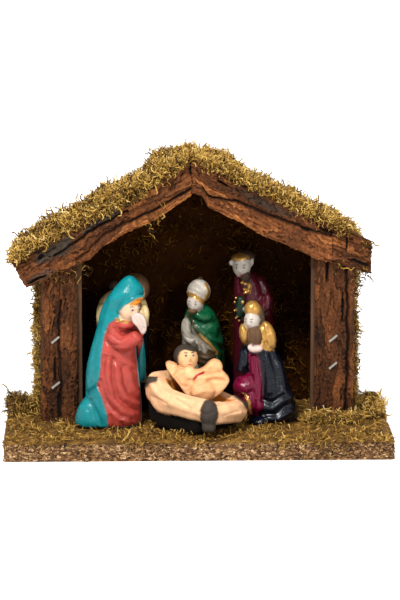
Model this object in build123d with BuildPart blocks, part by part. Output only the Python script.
"""A small wooden nativity stable with its six painted figures, in millimetres.

A particle-board base carries a shed of thin board: two side walls, a back wall and two roof
panels of unequal pitch. Strips of pine bark are stapled over battens on the front edges, dried
moss is glued over the roof, walls and floor, and cast figures are glued to the floor.
The origin is the centre of the base's underside, +Z is up and the open front faces -Y.
"""

import os
from itertools import pairwise
from math import cos, pi, radians, sin, tan
from typing import NamedTuple

from build123d import *

os.makedirs("parts", exist_ok=True)

# Base board and the litter of ground moss glued over it
base_width = 220.0
base_depth = 110.0
base_thickness = 10.0
base_corner_radius = 3.0
base_edge_chamfer = 0.8
litter_thickness = 1.2
litter_margin = 1.5

# Shed of thin board: faces are measured from the centre of the base
wall_thickness = 4.0
shed_width = 179.5
left_wall_face = 89.5
right_wall_face = shed_width - left_wall_face
back_wall_thickness = 3.0
back_face = 50.0
side_wall_front = 3.0

# Roof: the ridge stands a little left of the centre and the two slopes differ
ridge_x = -3.4
ridge_height = 159.0
roof_thickness = 4.0
left_pitch = 29.9
right_pitch = 24.7
left_roof_run = 98.0
right_roof_run = 100.0
roof_back_overhang = 2.0

# Battens and the bark strips stapled over them
post_batten_thickness = 5.0
left_post_batten_width = 23.5
right_post_batten_width = 24.5
rafter_batten_thickness = 4.0
rafter_batten_depth = 9.0
bark_thickness = 4.0
left_post_bark_width = 20.5
right_post_bark_width = 22.5
rafter_bark_depth = 19.5
rafter_bark_rise = 4.4
rafter_bark_tip = 5.6

# Bark relief: furrows that drift along the strip, as shares of its width and thickness
bark_station_shares = (0.0, 0.18, 0.4, 0.62, 0.82, 1.0)
furrow_half_width_share = 0.05
bark_edge_share = 0.6
edge_wander_share = 0.025
furrow_wander_share = 0.03

# Wire staples
staple_crown = 5.8
staple_wire = 1.2
staple_height = 0.9
post_staple_leg = 7.0
rafter_staple_leg = 5.4
panel_staple_leg = 11.0
base_staple_leg = 17.0
staple_tilt = 40.0
left_post_staple_levels = (33.0, 59.5)
right_post_staple_levels = (43.6, 59.5)
left_post_staple_across = 81.2
right_post_staple_across = 78.0
rafter_staple_run_shares = (0.2, 0.56)
back_staple_level_shares = (0.2, 0.55, 0.88)
wall_staple_place_shares = (0.2, 0.8)

# Dried moss on the roof, walls and floor
moss_thickness_left = 9.0
moss_thickness_right = 4.6
ridge_moss_height = 5.0
ridge_moss_left = 20.0
ridge_moss_right = 17.0
moss_gap = 0.3
wall_moss_left_thickness = 5.0
wall_moss_right_thickness = 3.0
wall_moss_edge = 3.0
lining_thickness = 2.0
left_tuft_width = 15.0
left_tuft_depth = 34.0
left_tuft_height = 12.0
left_tuft_y = 24.0
right_tuft_width = 16.0
right_tuft_depth = 44.0
right_tuft_height = 9.0
right_tuft_y = 18.0
post_tuft_width = 33.0
post_tuft_depth = 11.0
post_tuft_height = 10.0

# Figures: size across, from front to back, and in height, and where each stands
woman_size = (40.0, 30.0, 86.0)
woman_place = (-49.6, -14.8)
man_size = (32.0, 22.0, 84.0)
man_place = (-42.0, 21.0)
green_king_size = (29.0, 24.0, 79.5)
green_king_place = (4.7, 27.0)
wine_king_size = (30.0, 22.0, 96.0)
wine_king_place = (35.5, 32.0)
navy_king_size = (42.0, 31.0, 71.6)
navy_king_place = (40.8, -5.4)

# Manger and the infant that lies in it
manger_length = 55.6
manger_width = 44.4
manger_place = (-0.5, -22.8)
manger_turn = -38.7
manger_tilt = 14.0
trough_foot_share = 0.66
roll_level = 16.0
roll_radius = 6.2
roll_half_height = 6.4
roll_corner_radius = 7.4
stump_foot_radius = 4.6
stump_head_radius = 3.6
stump_rise = 1.0
infant_size = (40.0, 30.0, 32.0)
infant_head_radius = 6.5
infant_head_half_height = 7.6
infant_chest_radius = 6.0
infant_hip_radius = 8.4
infant_wrap_radius = 8.0
infant_wrap_half_length = 12.0
infant_arm_radius = 3.4
infant_hand_radius = 3.0
infant_cloth_radius = 4.6
infant_palm_radius = 3.6
infant_fold_radius = 5.5
infant_seat_share = 0.24

# Places that follow from the sizes above
base_top = base_thickness
floor_level = base_top + litter_thickness
back_wall_front = back_face - back_wall_thickness
post_batten_front = side_wall_front - post_batten_thickness
roof_front = post_batten_front - rafter_batten_thickness
roof_back = back_face + roof_back_overhang
post_bark_face = post_batten_front - bark_thickness
rafter_bark_back = roof_front


class Side(NamedTuple):
    """One half of the shed: what differs between left and right."""

    name: str
    sign: int
    pitch: float
    roof_run: float
    wall_face: float
    batten_width: float
    bark_width: float
    staple_levels: tuple
    staple_across: float
    moss_thickness: float
    wall_moss_thickness: float


LEFT = Side(
    "left", -1, radians(left_pitch), left_roof_run, left_wall_face, left_post_batten_width,
    left_post_bark_width, left_post_staple_levels, left_post_staple_across,
    moss_thickness_left, wall_moss_left_thickness,
)
RIGHT = Side(
    "right", 1, radians(right_pitch), right_roof_run, right_wall_face, right_post_batten_width,
    right_post_bark_width, right_post_staple_levels, right_post_staple_across,
    moss_thickness_right, wall_moss_right_thickness,
)
SIDES = (LEFT, RIGHT)


def write(part, name):
    """Labels a finished piece and writes it under its own name."""
    part.label = name
    export_step(part, f"parts/{name}.step")


def roof_top(side, x):
    """Height of the roof panel's upper face over x."""
    return ridge_height - abs(x - ridge_x) * tan(side.pitch)


def roof_underside(side, x):
    """Height of the roof panel's lower face over x."""
    return roof_top(side, x) - roof_thickness / cos(side.pitch)


def batten_underside(side, x):
    """Height of the rafter batten's lower edge over x."""
    return roof_underside(side, x) - rafter_batten_depth / cos(side.pitch)


def board(outline, front, depth):
    """A flat board: an outline in front view, drawn at y = front and carried back by depth."""
    with BuildPart() as flat:
        with BuildSketch(Plane.XZ.offset(-front)):
            with BuildLine():
                Polyline(*outline, close=True)
            make_face()
        extrude(amount=-depth)
    return flat.part


def standing_strip(side, outer, width, foot, top, front, depth):
    """An upright board whose head is cut to a slope: outer is its far edge from the centre line."""
    x_outer = side.sign * outer
    x_inner = side.sign * (outer - width)
    outline = [(x_outer, foot), (x_inner, foot), (x_inner, top(side, x_inner)), (x_outer, top(side, x_outer))]
    return board(outline, front, depth)


def slope_strip(side, run, top, depth, front, thickness):
    """A board that follows one slope from the plumb cut at the ridge to a square-cut eave."""
    x_eave = ridge_x + side.sign * run
    square = (-side.sign * depth * sin(side.pitch), -depth * cos(side.pitch))
    outline = [
        (ridge_x, top(side, ridge_x)),
        (x_eave, top(side, x_eave)),
        (x_eave + square[0], top(side, x_eave) + square[1]),
        (ridge_x, top(side, ridge_x) - depth / cos(side.pitch)),
    ]
    return board(outline, front, thickness)


# Staples

def staple(seat, leg):
    """A wire staple: the crown lies on the seat plane and the legs run down its -Z."""
    with BuildPart() as wire:
        with BuildSketch(Plane(origin=seat.origin, x_dir=seat.x_dir, z_dir=-seat.y_dir)):
            with Locations((0, staple_height)):
                Rectangle(staple_crown, staple_height + leg, align=(Align.CENTER, Align.MAX))
            Rectangle(staple_crown - 2 * staple_wire, leg, align=(Align.CENTER, Align.MAX), mode=Mode.SUBTRACT)
        extrude(amount=staple_wire / 2, both=True)
    return wire.part


def staple_group(seats, leg):
    """Staples of one length as separate solids of one group."""
    wires = [staple(seat, leg) for seat in seats]
    with BuildPart() as group:
        for wire in wires:
            add(wire)
    return group.part


def facing_front(x, y, z, tilt):
    """A seat on a front face, with the crown turned by tilt from the horizontal."""
    return Plane(origin=(x, y, z), x_dir=(cos(radians(tilt)), 0, sin(radians(tilt))), z_dir=(0, -1, 0))


post_seats = [
    facing_front(side.sign * side.staple_across, post_bark_face, level, staple_tilt)
    for side in SIDES
    for level in side.staple_levels
]
post_staples = staple_group(post_seats, post_staple_leg)


def rafter_seat(side, run_share):
    """A seat on the back of the rafter batten, at a share of the roof's run: the legs end in the bark."""
    x = ridge_x + side.sign * run_share * side.roof_run
    level = (roof_underside(side, x) + batten_underside(side, x)) / 2
    return Plane(origin=(x, post_batten_front, level), x_dir=(cos(side.pitch), 0, sin(side.pitch)), z_dir=(0, 1, 0))


rafter_seats = [rafter_seat(side, share) for side in SIDES for share in rafter_staple_run_shares]
rafter_staples = staple_group(rafter_seats, rafter_staple_leg)


def wall_middle(side):
    """The x of the middle of a side wall's thickness."""
    return side.sign * (side.wall_face - wall_thickness / 2)


def back_seat(side, level_share):
    """A seat on the back wall, over the rear edge of a side wall."""
    x = wall_middle(side)
    level = base_top + level_share * (roof_underside(side, x) - base_top)
    return Plane(origin=(x, back_face, level), x_dir=(0, 0, 1), z_dir=(0, 1, 0))


back_staples = staple_group(
    [back_seat(side, share) for side in SIDES for share in back_staple_level_shares], panel_staple_leg
)


def wall_station(share):
    """The y at a share of the side wall's depth."""
    return side_wall_front + share * (back_wall_front - side_wall_front)


def roof_seat(side, share):
    """A seat on the roof panel, over the head of a side wall."""
    x = wall_middle(side)
    normal = (side.sign * sin(side.pitch), 0, cos(side.pitch))
    return Plane(origin=(x, wall_station(share), roof_top(side, x)), x_dir=(0, 1, 0), z_dir=normal)


roof_staples = staple_group(
    [roof_seat(side, share) for side in SIDES for share in wall_staple_place_shares], panel_staple_leg
)


def base_seat(side, share):
    """A sunk seat in the base's underside, below the foot of a side wall."""
    return Plane(origin=(wall_middle(side), wall_station(share), staple_height), x_dir=(0, 1, 0), z_dir=(0, 0, -1))


base_staples = staple_group(
    [base_seat(side, share) for side in SIDES for share in wall_staple_place_shares], base_staple_leg
)

for group, name in (
    (post_staples, "post_staples"),
    (rafter_staples, "rafter_staples"),
    (back_staples, "back_staples"),
    (roof_staples, "roof_staples"),
    (base_staples, "base_staples"),
):
    write(group, name)

# Base board
with BuildPart() as base_board:
    with BuildSketch():
        RectangleRounded(base_width, base_depth, base_corner_radius)
    extrude(amount=base_thickness)
    chamfer(base_board.faces().sort_by(Axis.Z)[-1].edges(), base_edge_chamfer)
    add(base_staples, mode=Mode.SUBTRACT)
write(base_board.part, "base_board")

# Shed walls
side_walls = {}
for side in SIDES:
    blank = standing_strip(
        side, side.wall_face, wall_thickness, base_top, roof_underside, side_wall_front,
        back_wall_front - side_wall_front,
    )
    with BuildPart() as side_wall:
        add(blank)
        for wires in (back_staples, roof_staples, base_staples):
            add(wires, mode=Mode.SUBTRACT)
    side_walls[side.name] = side_wall.part
    write(side_wall.part, f"side_wall_{side.name}")

gable = [
    (-left_wall_face, base_top),
    (-left_wall_face, roof_underside(LEFT, -left_wall_face)),
    (ridge_x, roof_underside(LEFT, ridge_x)),
    (ridge_x, roof_underside(RIGHT, ridge_x)),
    (right_wall_face, roof_underside(RIGHT, right_wall_face)),
    (right_wall_face, base_top),
]
gable_blank = board(gable, back_wall_front, back_wall_thickness)
with BuildPart() as back_wall:
    add(gable_blank)
    add(back_staples, mode=Mode.SUBTRACT)
write(back_wall.part, "back_wall")

# Roof panels
for side in SIDES:
    blank = slope_strip(side, side.roof_run, roof_top, roof_thickness, roof_front, roof_back - roof_front)
    with BuildPart() as roof_panel:
        add(blank)
        add(roof_staples, mode=Mode.SUBTRACT)
    write(roof_panel.part, f"roof_panel_{side.name}")

# Battens behind the bark
post_battens = {}
for side in SIDES:
    blank = standing_strip(
        side, side.wall_face, side.batten_width, base_top, roof_underside, post_batten_front, post_batten_thickness
    )
    with BuildPart() as post_batten:
        add(blank)
        add(post_staples, mode=Mode.SUBTRACT)
    post_battens[side.name] = post_batten.part
    write(post_batten.part, f"post_batten_{side.name}")

for side in SIDES:
    blank = slope_strip(
        side, side.roof_run, roof_underside, rafter_batten_depth, roof_front, rafter_batten_thickness
    )
    with BuildPart() as rafter_batten:
        add(blank)
        add(rafter_staples, mode=Mode.SUBTRACT)
    write(rafter_batten.part, f"rafter_batten_{side.name}")


# Bark strips

def bark_section(width, furrow_shares, along):
    """Outline of a bark strip across its width, at a share along its length."""
    wander = edge_wander_share * sin(2 * pi * along)
    points = [(wander, 0), (wander, bark_edge_share)]
    for start, end, depth in furrow_shares:
        middle = start + (end - start) * along + furrow_wander_share * sin(3 * pi * along)
        points += [
            (middle - furrow_half_width_share, 1),
            (middle, 1 - depth),
            (middle + furrow_half_width_share, 1),
        ]
    points += [(1 + wander, bark_edge_share), (1 + wander, 0)]
    return [(across * width, rise * bark_thickness) for across, rise in points]


def bark_strip(start, length, width, furrow_shares):
    """A strip of furrowed bark, lofted along +Z of its start plane, with its face towards +Y."""
    with BuildPart() as strip:
        for along in bark_station_shares:
            with BuildSketch(start.offset(along * length)):
                with BuildLine():
                    Polyline(*bark_section(width, furrow_shares, along), close=True)
                make_face()
        loft(ruled=True)
    return strip.part


post_furrow_shares = {
    "left": ((0.3, 0.22, 0.45), (0.5, 0.62, 0.6), (0.78, 0.84, 0.35)),
    "right": ((0.17, 0.24, 0.5), (0.5, 0.42, 0.35), (0.74, 0.8, 0.5)),
}
rafter_furrow_shares = {
    "left": ((0.25, 0.36, 0.4), (0.62, 0.56, 0.35), (0.8, 0.86, 0.5)),
    "right": ((0.2, 0.3, 0.35), (0.48, 0.62, 0.6), (0.78, 0.84, 0.4)),
}

post_barks = {}
for side in SIDES:
    x_right = max(side.sign * side.wall_face, side.sign * (side.wall_face - side.bark_width))
    foot = Plane(origin=(x_right, post_batten_front, base_top), x_dir=(-1, 0, 0), z_dir=(0, 0, 1))
    full_length = ridge_height - base_top
    blank = bark_strip(foot, full_length, side.bark_width, post_furrow_shares[side.name])
    x_head = side.sign * side.wall_face
    head = Plane(
        origin=(x_head, 0, batten_underside(side, x_head)),
        z_dir=(side.sign * sin(side.pitch), 0, cos(side.pitch)),
    )
    with BuildPart() as post_bark:
        add(blank)
        split(bisect_by=head, keep=Keep.BOTTOM)
        add(post_staples, mode=Mode.SUBTRACT)
    post_barks[side.name] = post_bark.part
    write(post_bark.part, f"post_bark_{side.name}")


def rafter_start(side):
    """Start plane of a rafter's bark: beyond the ridge, with its length down the slope."""
    down = Vector(side.sign * cos(side.pitch), 0, -sin(side.pitch))
    across = Vector(0, -1, 0).cross(down)
    upward = Vector(side.sign * sin(side.pitch), 0, cos(side.pitch))
    top_corner = Vector(ridge_x, rafter_bark_back, ridge_height) + upward * rafter_bark_rise
    low_corner = top_corner - upward * rafter_bark_depth
    corner = top_corner if side.sign < 0 else low_corner
    return Plane(origin=corner - down * rafter_bark_depth, x_dir=across, z_dir=down)


for side in SIDES:
    slope_length = side.roof_run / cos(side.pitch) + rafter_bark_tip
    blank = bark_strip(
        rafter_start(side), slope_length + rafter_bark_depth, rafter_bark_depth, rafter_furrow_shares[side.name]
    )
    ridge_cut = Plane(origin=(ridge_x, 0, 0), z_dir=(side.sign, 0, 0))
    eave_cut = Plane(origin=(ridge_x + side.sign * (side.roof_run + rafter_bark_tip / 2), 0, 0), z_dir=(1, 0, 0))
    with BuildPart() as rafter_bark:
        add(blank)
        split(bisect_by=ridge_cut, keep=Keep.TOP)
        if side is RIGHT:
            split(bisect_by=eave_cut, keep=Keep.BOTTOM)
        add(rafter_staples, mode=Mode.SUBTRACT)
    write(rafter_bark.part, f"rafter_bark_{side.name}")

# Litter of ground moss over the base, open where the shed stands
with BuildPart() as litter:
    with BuildSketch(Plane.XY.offset(base_top)):
        RectangleRounded(base_width - 2 * litter_margin, base_depth - 2 * litter_margin, base_corner_radius)
    extrude(amount=litter_thickness)
    for upright in (*side_walls.values(), *post_battens.values(), *post_barks.values(), back_wall.part):
        add(upright, mode=Mode.SUBTRACT)
    add(base_staples, mode=Mode.SUBTRACT)
write(litter.part, "moss_floor")

# Moss on the roof: the outline swells and thins down each slope, as shares of its thickness
roof_moss_shares = {
    "left": ((0.22, 0.75), (0.36, 0.9), (0.5, 1.0), (0.66, 0.95), (0.82, 1.0), (0.96, 0.8)),
    "right": ((0.2, 0.9), (0.34, 0.8), (0.5, 1.0), (0.66, 0.9), (0.82, 1.0), (0.95, 0.7)),
}
ridge_moss_shares = ((0.25, 0.85), (0.5, 1.0), (0.75, 0.9))


def above_roof(side, x, rise):
    """A point in front view that stands square over the roof panel by rise."""
    return (x + side.sign * rise * sin(side.pitch), roof_top(side, x) + rise * cos(side.pitch))


for side in SIDES:
    inner = {"left": ridge_moss_left, "right": ridge_moss_right}[side.name]
    x_inner = ridge_x + side.sign * (inner + moss_gap)
    x_eave = ridge_x + side.sign * side.roof_run
    crest = [
        above_roof(side, ridge_x + side.sign * along * side.roof_run, rise * side.moss_thickness)
        for along, rise in roof_moss_shares[side.name]
    ]
    with BuildPart() as roof_moss:
        with BuildSketch(Plane.XZ.offset(-roof_front)):
            with BuildLine():
                head_line = Line((x_inner, roof_top(side, x_inner)), crest[0])
                swell = Spline(*crest)
                tail = Line(swell @ 1, (x_eave, roof_top(side, x_eave)))
                Line(tail @ 1, head_line @ 0)
            make_face()
        extrude(amount=-(roof_back - roof_front))
        add(roof_staples, mode=Mode.SUBTRACT)
    write(roof_moss.part, f"moss_roof_{side.name}")

x_ridge_left = ridge_x - ridge_moss_left
x_ridge_right = ridge_x + ridge_moss_right
ridge_crest = [
    (x_ridge_left + share * (x_ridge_right - x_ridge_left), ridge_height + rise * ridge_moss_height)
    for share, rise in ridge_moss_shares
]
with BuildPart() as ridge_moss:
    with BuildSketch(Plane.XZ.offset(-roof_front)):
        with BuildLine():
            rise_line = Spline((x_ridge_left, roof_top(LEFT, x_ridge_left)), *ridge_crest,
                               (x_ridge_right, roof_top(RIGHT, x_ridge_right)))
            Polyline(rise_line @ 1, (ridge_x, ridge_height), rise_line @ 0)
        make_face()
    extrude(amount=-(roof_back - roof_front))
write(ridge_moss.part, "moss_ridge")

# Moss on the outer side walls: a mat that swells to its middle
wall_moss_shares = ((0.0, 0.5), (0.3, 1.0), (0.62, 0.8), (1.0, 0.4))
for side in SIDES:
    x_face = side.sign * side.wall_face
    low = floor_level
    high = roof_underside(side, x_face) - side.wall_moss_thickness * tan(side.pitch) - wall_moss_edge
    swelling = [
        (x_face + side.sign * rise * side.wall_moss_thickness, low + share * (high - low))
        for share, rise in wall_moss_shares
    ]
    with BuildPart() as wall_moss:
        with BuildSketch(Plane.XZ.offset(-(side_wall_front + wall_moss_edge))):
            with BuildLine():
                foot_line = Line((x_face, low), swelling[0])
                swell = Spline(*swelling)
                Polyline(swell @ 1, (x_face, high), foot_line @ 0)
            make_face()
        extrude(amount=-(back_wall_front - side_wall_front - 2 * wall_moss_edge))
    write(wall_moss.part, f"moss_wall_{side.name}")

# Moss lining on the inside of the back wall
lining_low = floor_level
x_lining_left = -(left_wall_face - wall_thickness - moss_gap)
x_lining_right = right_wall_face - wall_thickness - moss_gap
lining = [
    (x_lining_left, lining_low),
    (x_lining_left, roof_underside(LEFT, x_lining_left) - moss_gap),
    (ridge_x, roof_underside(LEFT, ridge_x) - moss_gap),
    (x_lining_right, roof_underside(RIGHT, x_lining_right) - moss_gap),
    (x_lining_right, lining_low),
]
write(board(lining, back_wall_front - lining_thickness, lining_thickness), "moss_back_lining")

# Loose tufts of moss on the floor: hummocks of shrinking ellipses
tuft_level_shares = ((0.0, 1.0), (0.45, 0.88), (0.8, 0.6), (1.0, 0.3))


def tuft(x, y, width, depth, height):
    """A hummock of moss on the floor, with its widest section at the foot."""
    with BuildPart() as hummock:
        for level, spread in tuft_level_shares:
            with BuildSketch(Plane.XY.offset(floor_level + level * height)):
                with Locations((x, y)):
                    Ellipse(spread * width / 2, spread * depth / 2)
        loft()
    return hummock.part


left_tuft_x = -(left_wall_face + wall_moss_left_thickness + moss_gap + left_tuft_width / 2)
write(tuft(left_tuft_x, left_tuft_y, left_tuft_width, left_tuft_depth, left_tuft_height), "moss_tuft_left")
right_tuft_x = right_wall_face + wall_moss_right_thickness + moss_gap + right_tuft_width / 2
write(tuft(right_tuft_x, right_tuft_y, right_tuft_width, right_tuft_depth, right_tuft_height), "moss_tuft_right")
post_tuft_x = right_wall_face - right_post_bark_width / 2
post_tuft_y = post_bark_face - moss_gap - post_tuft_depth / 2
write(tuft(post_tuft_x, post_tuft_y, post_tuft_width, post_tuft_depth, post_tuft_height), "moss_tuft_post")


# Figures

class Figure(NamedTuple):
    """A cast figure: where it stands and its size across, from front to back, and in height."""

    stand: Plane
    width: float
    depth: float
    height: float

    def spot(self, across, along, level):
        """The point at these shares of the figure's size."""
        local = Vector(across * self.width, along * self.depth, level * self.height)
        return self.stand.from_local_coords(local)


def figure(place, size, turn=0.0):
    """A figure that stands on the litter, turned about the upright."""
    stand = Plane(
        origin=(*place, floor_level), x_dir=(cos(radians(turn)), sin(radians(turn)), 0), z_dir=(0, 0, 1)
    )
    return Figure(stand, *size)


fold_points = 4
fold_share = 0.045


def robe(of, section_shares, folds, swing, grow=0.0):
    """A hanging robe lofted through folded ovals: level, place across and along, half width and half depth.

    The folds run down the cloth, swing round it by an angle on the way, and die out at the shoulders.
    """
    steps = fold_points * folds
    with BuildPart() as cloth:
        for level, across, along, half_width, half_depth in section_shares:
            rim = []
            for step in range(steps):
                angle = 2 * pi * step / steps
                swell = 1 + fold_share * (1 - level) * cos(folds * angle + swing * level)
                rim.append((
                    across * of.width + (half_width * of.width + grow) * swell * cos(angle),
                    along * of.depth + (half_depth * of.depth + grow) * swell * sin(angle),
                ))
            with BuildSketch(of.stand.offset(level * of.height)):
                with BuildLine():
                    Spline(*rim, periodic=True)
                make_face()
        loft()
    return cloth.part


egg_level_shares = (-0.995, -0.92, -0.7, -0.36, 0.0, 0.36, 0.7, 0.92, 0.995)


def egg(middle, radius, half_height, lean=(0, 0, 1)):
    """A head, hand or hood: round sections lofted along the axis that it leans along."""
    upright = Plane(origin=middle, z_dir=lean)
    with BuildPart() as oval:
        for level in egg_level_shares:
            with BuildSketch(upright.offset(level * half_height)):
                Circle(radius * (1 - level * level) ** 0.5)
        loft()
    return oval.part


def limb(start, end, start_radius, end_radius):
    """A sleeve: a straight taper between two round sections."""
    along = end - start
    with BuildPart() as sleeve:
        with BuildSketch(Plane(origin=start, z_dir=along)):
            Circle(start_radius)
        with BuildSketch(Plane(origin=end, z_dir=along)):
            Circle(end_radius)
        loft()
    return sleeve.part


band_rounding_share = 0.7


def band(middle, radius, half_height, lean=(0, 0, 1)):
    """A crown, turban band or bowl rim: a flat round hoop with rounded edges."""
    with BuildPart() as hoop:
        with BuildSketch(Plane(origin=middle, z_dir=lean)):
            Circle(radius)
        extrude(amount=half_height, both=True)
        fillet(hoop.edges().filter_by(GeomType.CIRCLE), band_rounding_share * half_height)
    return hoop.part


joint_fullness_share = 1.06


def drape(of, joint_shares):
    """A sleeve or a roll of cloth: tapers from joint to joint, each bend rounded a little fuller.

    A joint is its place across, along and in height, and its radius as a share of the figure's width.
    """
    joints = [(of.spot(*place), radius * of.width) for *place, radius in joint_shares]
    tapers = [limb(start, end, wide, narrow) for (start, wide), (end, narrow) in pairwise(joints)]
    bends = [egg(middle, joint_fullness_share * r, joint_fullness_share * r) for middle, r in joints[1:-1]]
    return (*tapers, *bends)


def cast(pieces, name):
    """One casting: the pieces are fused and kept as a single solid."""
    with BuildPart() as casting:
        for piece in pieces:
            add(piece)
    write(casting.part, name)


# Small forms that the figures share
nose_radius = 1.0
nose_half_height = 1.8
cloak_thickness = 1.0

# Kneeling woman in a hooded cloak, hands joined: the cloak hangs over her back and near shoulder
woman_robe_shares = (
    (0.0, -0.04, 0.0, 0.43, 0.46),
    (0.13, -0.02, 0.0, 0.455, 0.47),
    (0.26, 0.035, -0.01, 0.41, 0.43),
    (0.39, 0.045, 0.0, 0.38, 0.39),
    (0.52, 0.08, 0.0, 0.355, 0.36),
    (0.65, 0.135, 0.02, 0.32, 0.33),
    (0.78, 0.14, 0.05, 0.25, 0.3),
    (0.89, 0.22, 0.05, 0.19, 0.22),
)
woman_sleeve_shares = (
    (0.025, -0.18, 0.66, 0.14),
    (0.1, -0.31, 0.567, 0.165),
    (0.275, -0.345, 0.573, 0.14),
    (0.395, -0.31, 0.643, 0.09),
)
woman_folds = 8
woman_fold_swing = 1.2
woman_hood_radius = 9.6
woman_hood_half_height = 11.8
woman_face_radius = 6.6
woman_face_half_height = 8.6
woman_hand_radius = 3.6
woman_hand_half_height = 6.4
woman_heel_radius = 9.0
woman_heel_half_height = 8.8
woman = figure(woman_place, woman_size)
cloak_cloth = robe(woman, woman_robe_shares, woman_folds, woman_fold_swing, cloak_thickness)
cloak_border = Plane(origin=woman.spot(-0.11, -0.43, 0), z_dir=(-0.72, 0.69, 0))
with BuildPart() as cloak:
    add(cloak_cloth)
    split(bisect_by=cloak_border, keep=Keep.TOP)
cast(
    (
        robe(woman, woman_robe_shares, woman_folds, woman_fold_swing),
        cloak.part,
        egg(woman.spot(0.24, 0.02, 0.862), woman_hood_radius, woman_hood_half_height, (0.12, 0.08, 1)),
        egg(woman.spot(0.25, -0.19, 0.79), woman_face_radius, woman_face_half_height),
        egg(woman.spot(0.34, -0.37, 0.784), nose_radius, nose_half_height),
        *drape(woman, woman_sleeve_shares),
        egg(woman.spot(0.425, -0.32, 0.69), woman_hand_radius, woman_hand_half_height, (0.15, 0, 1)),
        egg(woman.spot(-0.255, -0.1, 0.105), woman_heel_radius, woman_heel_half_height),
    ),
    "figure_kneeling_woman",
)

# Standing bearded man: a mantle over the shoulders of a long robe
man_robe_shares = (
    (0.0, 0.0, 0.0, 0.45, 0.46),
    (0.14, 0.0, 0.0, 0.45, 0.46),
    (0.28, 0.0, 0.0, 0.44, 0.45),
    (0.42, 0.0, 0.0, 0.455, 0.45),
    (0.56, 0.0, 0.0, 0.47, 0.45),
    (0.7, 0.0, 0.0, 0.44, 0.4),
    (0.82, 0.09, -0.02, 0.25, 0.27),
)
man_mantle_sections = 3
man_near_sleeve_shares = ((-0.39, -0.09, 0.748, 0.14), (-0.425, -0.31, 0.652, 0.135), (-0.25, -0.47, 0.581, 0.11))
man_far_sleeve_shares = ((0.344, -0.13, 0.736, 0.15), (0.381, -0.31, 0.664, 0.135), (0.31, -0.43, 0.593, 0.105))
man_folds = 9
man_fold_swing = 0.6
man_hair_radius = 9.6
man_hair_half_height = 10.6
man_face_radius = 6.8
man_face_half_height = 8.2
man_beard_radius = 4.6
man_beard_half_height = 5.4
man = figure(man_place, man_size)
cast(
    (
        robe(man, man_robe_shares, man_folds, man_fold_swing),
        robe(man, man_robe_shares[-man_mantle_sections:], man_folds, man_fold_swing, cloak_thickness),
        *drape(man, man_near_sleeve_shares),
        *drape(man, man_far_sleeve_shares),
        egg(man.spot(0.15, -0.06, 0.852), man_hair_radius, man_hair_half_height),
        egg(man.spot(0.17, -0.26, 0.838), man_face_radius, man_face_half_height),
        egg(man.spot(0.18, -0.57, 0.828), nose_radius, nose_half_height),
        egg(man.spot(0.175, -0.4, 0.757), man_beard_radius, man_beard_half_height),
    ),
    "figure_standing_man",
)

# Kneeling king in a banded turban and a green cape, with a bowl
green_king_robe_shares = (
    (0.0, 0.0, 0.0, 0.47, 0.47),
    (0.15, 0.0, 0.0, 0.48, 0.47),
    (0.3, 0.0, 0.0, 0.475, 0.46),
    (0.45, -0.01, 0.0, 0.46, 0.44),
    (0.6, -0.05, 0.0, 0.4, 0.38),
    (0.75, -0.09, -0.03, 0.24, 0.26),
)
green_king_cape_shares = (
    (-0.3, -0.3, 0.72, 0.1),
    (-0.08, -0.43, 0.677, 0.138),
    (0.17, -0.39, 0.633, 0.155),
    (0.3, -0.2, 0.551, 0.155),
)
green_king_arm_shares = ((-0.4, -0.14, 0.66, 0.145), (-0.33, -0.42, 0.5, 0.13), (0.02, -0.56, 0.47, 0.1))
green_king_cuff_shares = ((0.23, -0.4, 0.513, 0.124), (0.06, -0.58, 0.49, 0.1))
green_king_folds = 7
green_king_fold_swing = 2.0
green_king_face_radius = 6.2
green_king_face_half_height = 8.2
green_king_turban_radius = 7.2
green_king_turban_half_height = 6.8
green_king_band_radius = 7.9
green_king_band_half_height = 1.6
green_king_tip_radius = 2.4
green_king_tip_half_height = 3.6
green_king_bowl_radius = 5.8
green_king_bowl_half_height = 5.2
green_king_rim_radius = 6.3
green_king_rim_half_height = 1.2
green_king = figure(green_king_place, green_king_size)
cast(
    (
        robe(green_king, green_king_robe_shares, green_king_folds, green_king_fold_swing),
        *drape(green_king, green_king_cape_shares),
        egg(green_king.spot(-0.1, -0.16, 0.815), green_king_face_radius, green_king_face_half_height),
        egg(green_king.spot(-0.2, -0.39, 0.8), nose_radius, nose_half_height),
        egg(green_king.spot(-0.06, -0.05, 0.87), green_king_turban_radius, green_king_turban_half_height),
        band(green_king.spot(-0.08, -0.11, 0.855), green_king_band_radius, green_king_band_half_height, (0.22, 0.15, 1)),
        egg(green_king.spot(-0.04, 0.0, 0.955), green_king_tip_radius, green_king_tip_half_height),
        *drape(green_king, green_king_arm_shares),
        *drape(green_king, green_king_cuff_shares),
        egg(green_king.spot(0.07, -0.52, 0.43), green_king_bowl_radius, green_king_bowl_half_height),
        band(green_king.spot(0.07, -0.53, 0.468), green_king_rim_radius, green_king_rim_half_height),
    ),
    "figure_green_king",
)

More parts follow.
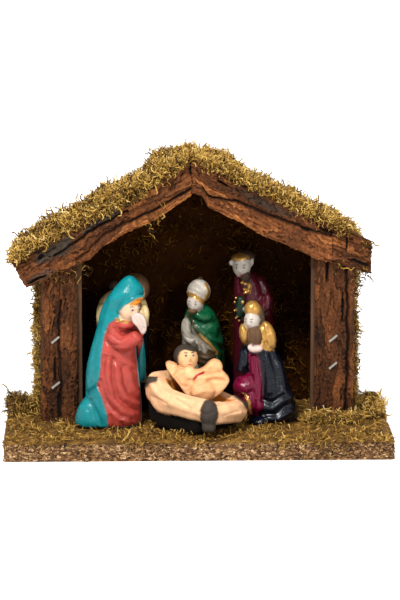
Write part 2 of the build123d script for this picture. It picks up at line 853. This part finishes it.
# Standing bearded king in a crown and a wine robe, with a casket
wine_king_robe_shares = (
    (0.0, 0.0, 0.0, 0.46, 0.47),
    (0.14, 0.0, 0.0, 0.45, 0.46),
    (0.28, 0.0, 0.0, 0.43, 0.45),
    (0.42, 0.0, 0.0, 0.42, 0.44),
    (0.56, 0.0, 0.0, 0.42, 0.44),
    (0.7, -0.03, 0.0, 0.38, 0.4),
    (0.84, -0.22, -0.02, 0.17, 0.22),
)
wine_king_sleeve_shares = ((0.24, -0.3, 0.685, 0.16), (0.1, -0.53, 0.618, 0.15), (-0.12, -0.61, 0.628, 0.105))
wine_king_folds = 8
wine_king_fold_swing = 0.8
wine_king_head_radius = 6.3
wine_king_head_half_height = 8.0
wine_king_dome_radius = 5.8
wine_king_dome_half_height = 5.2
wine_king_crown_radius = 6.9
wine_king_crown_half_height = 2.2
wine_king_beard_radius = 3.3
wine_king_beard_half_height = 5.4
wine_king_hand_radius = 2.6
wine_king_casket_radius = 4.5
wine_king_casket_half_height = 8.2
wine_king_sash_radius = 3.6
wine_king_sash_half_height = 8.4
wine_king = figure(wine_king_place, wine_king_size)
cast(
    (
        robe(wine_king, wine_king_robe_shares, wine_king_folds, wine_king_fold_swing),
        egg(wine_king.spot(-0.26, -0.12, 0.885), wine_king_head_radius, wine_king_head_half_height),
        egg(wine_king.spot(-0.3, -0.4, 0.875), nose_radius, nose_half_height),
        egg(wine_king.spot(-0.26, -0.06, 0.946), wine_king_dome_radius, wine_king_dome_half_height),
        band(wine_king.spot(-0.265, -0.12, 0.941), wine_king_crown_radius, wine_king_crown_half_height, (0, -0.1, 1)),
        egg(wine_king.spot(-0.285, -0.33, 0.806), wine_king_beard_radius, wine_king_beard_half_height),
        *drape(wine_king, wine_king_sleeve_shares),
        egg(wine_king.spot(-0.19, -0.66, 0.638), wine_king_hand_radius, wine_king_hand_radius),
        egg(wine_king.spot(-0.235, -0.52, 0.685), wine_king_casket_radius, wine_king_casket_half_height, (-0.15, 0, 1)),
        egg(wine_king.spot(-0.35, -0.44, 0.607), wine_king_sash_radius, wine_king_sash_half_height),
    ),
    "figure_wine_king",
)

# Kneeling bearded king in a headdress and a shoulder cape: a tunic shows where the cloak opens
navy_king_robe_shares = (
    (0.0, 0.08, 0.0, 0.33, 0.46),
    (0.15, 0.06, 0.0, 0.385, 0.47),
    (0.3, -0.06, 0.0, 0.36, 0.45),
    (0.45, -0.09, 0.0, 0.33, 0.4),
    (0.6, -0.1, 0.0, 0.27, 0.34),
    (0.75, -0.14, -0.02, 0.19, 0.25),
)
navy_king_tunic_shares = (
    (-0.195, -0.34, 0.584, 0.081),
    (-0.2, -0.38, 0.444, 0.1),
    (-0.185, -0.37, 0.2765, 0.105),
    (-0.16, -0.36, 0.012, 0.1),
)
navy_king_flap_shares = ((-0.29, -0.22, 0.542, 0.09), (-0.39, -0.23, 0.45, 0.081), (-0.43, -0.17, 0.36, 0.067))
navy_king_veil_shares = ((-0.11, -0.07, 0.9, 0.062), (-0.067, -0.084, 0.821, 0.071), (-0.043, -0.1, 0.751, 0.062))
navy_king_folds = 9
navy_king_fold_swing = 1.6
navy_king_face_radius = 4.9
navy_king_face_half_height = 6.4
navy_king_headdress_radius = 5.6
navy_king_headdress_half_height = 5.8
navy_king_beard_radius = 4.2
navy_king_beard_half_height = 7.2
navy_king_near_cape_radius = 3.9
navy_king_near_cape_half_height = 6.6
navy_king_far_cape_radius = 5.2
navy_king_far_cape_half_height = 8.4
navy_king_knee_radius = 6.4
navy_king_knee_half_height = 7.8
navy_king_hand_radius = 3.4
navy_king_hand_half_height = 4.2
navy_king = figure(navy_king_place, navy_king_size)
cast(
    (
        robe(navy_king, navy_king_robe_shares, navy_king_folds, navy_king_fold_swing),
        *drape(navy_king, navy_king_tunic_shares),
        egg(navy_king.spot(-0.34, -0.28, 0.325), navy_king_knee_radius, navy_king_knee_half_height),
        *drape(navy_king, navy_king_flap_shares),
        egg(navy_king.spot(-0.214, -0.18, 0.855), navy_king_face_radius, navy_king_face_half_height),
        egg(navy_king.spot(-0.28, -0.33, 0.848), nose_radius, nose_half_height),
        egg(navy_king.spot(-0.193, -0.1, 0.913), navy_king_headdress_radius, navy_king_headdress_half_height),
        *drape(navy_king, navy_king_veil_shares),
        egg(navy_king.spot(-0.2, -0.29, 0.72), navy_king_beard_radius, navy_king_beard_half_height),
        egg(
            navy_king.spot(-0.33, -0.17, 0.716), navy_king_near_cape_radius, navy_king_near_cape_half_height,
            (-0.25, 0, 1),
        ),
        egg(
            navy_king.spot(-0.006, -0.15, 0.704), navy_king_far_cape_radius, navy_king_far_cape_half_height,
            (0.35, 0, 1),
        ),
        egg(navy_king.spot(-0.17, -0.38, 0.606), navy_king_hand_radius, navy_king_hand_half_height, (0.5, 0, 1)),
    ),
    "figure_navy_king",
)

# Manger: a fat roll of straw on a tapered trough, with a stump at each corner
tilt = radians(manger_tilt)
turn = radians(manger_turn)
roll_middle = Vector(*manger_place, floor_level + roll_level)
roll_normal = Vector(sin(tilt), 0, cos(tilt))
level_along = Vector(cos(turn), sin(turn), 0)
roll_plane = Plane(origin=roll_middle, x_dir=level_along.cross(roll_normal).cross(-roll_normal), z_dir=roll_normal)
foot_plane = Plane(origin=(*manger_place, floor_level), x_dir=level_along, z_dir=(0, 0, 1))


def straw_roll(radius, half_height):
    """The roll of straw round the trough: an oval section carried round a rounded rectangle."""
    with BuildSketch(roll_plane) as ring:
        RectangleRounded(manger_length - 2 * roll_radius, manger_width - 2 * roll_radius, roll_corner_radius)
    path = ring.sketch.face().outer_wire()
    with BuildPart() as roll:
        with BuildSketch(Plane(origin=path @ 0, x_dir=roll_plane.z_dir, z_dir=path % 0)):
            Ellipse(half_height, radius)
        sweep(path=path)
    return roll.part


roll = straw_roll(roll_radius, roll_half_height)
with BuildPart() as trough:
    with BuildSketch(foot_plane):
        RectangleRounded(trough_foot_share * manger_length, trough_foot_share * manger_width, roll_corner_radius)
    with BuildSketch(roll_plane):
        RectangleRounded(manger_length - 2 * roll_radius, manger_width - 2 * roll_radius, roll_corner_radius / 2)
    loft()
stumps = []
for across, along in ((-1, -1), (1, -1), (1, 1), (-1, 1)):
    spot = roll_plane.from_local_coords(
        Vector(across * (manger_length / 2 - roll_radius), along * (manger_width / 2 - roll_radius), 0)
    )
    foot = Vector(spot.X, spot.Y, floor_level)
    head = spot + Vector(0, 0, roll_half_height + stump_rise)
    stumps.append(limb(foot, head, stump_foot_radius, stump_head_radius))
cast((trough.part, roll, *stumps), "manger")

# Infant lying back in the manger, arms spread, in a loose wrap
infant = Figure(Plane(origin=roll_middle), *infant_size)
infant_pieces = (
    limb(infant.spot(-0.11, 0.22, 0.54), infant.spot(0.04, -0.16, 0.06), infant_chest_radius, infant_hip_radius),
    egg(infant.spot(-0.14, 0.3, 0.74), infant_head_radius, infant_head_half_height, (-0.2, 0.5, 1)),
    egg(infant.spot(0.14, -0.07, 0.26), infant_wrap_radius, infant_wrap_half_length, (1, 0.1, 0.25)),
    limb(infant.spot(-0.18, 0.18, 0.46), infant.spot(-0.37, 0.07, 0.58), infant_arm_radius, infant_hand_radius),
    egg(infant.spot(-0.38, 0.06, 0.59), infant_palm_radius, infant_palm_radius),
    limb(infant.spot(0.02, 0.08, 0.46), infant.spot(0.4, -0.06, 0.42), infant_cloth_radius, infant_hand_radius),
    egg(infant.spot(0.25, 0.0, 0.55), infant_fold_radius, infant_fold_radius),
)
clear_plane = roll_plane.offset(roll_half_height + moss_gap)
with BuildPart() as infant_seat:
    with BuildSketch(roll_plane):
        Ellipse(infant_seat_share * infant_size[0], infant_seat_share * infant_size[1])
    extrude(amount=roll_half_height + infant_hand_radius)
with BuildPart() as infant_casting:
    for piece in infant_pieces:
        add(piece)
    split(bisect_by=clear_plane, keep=Keep.TOP)
    add(infant_seat.part)
write(infant_casting.part, "infant")
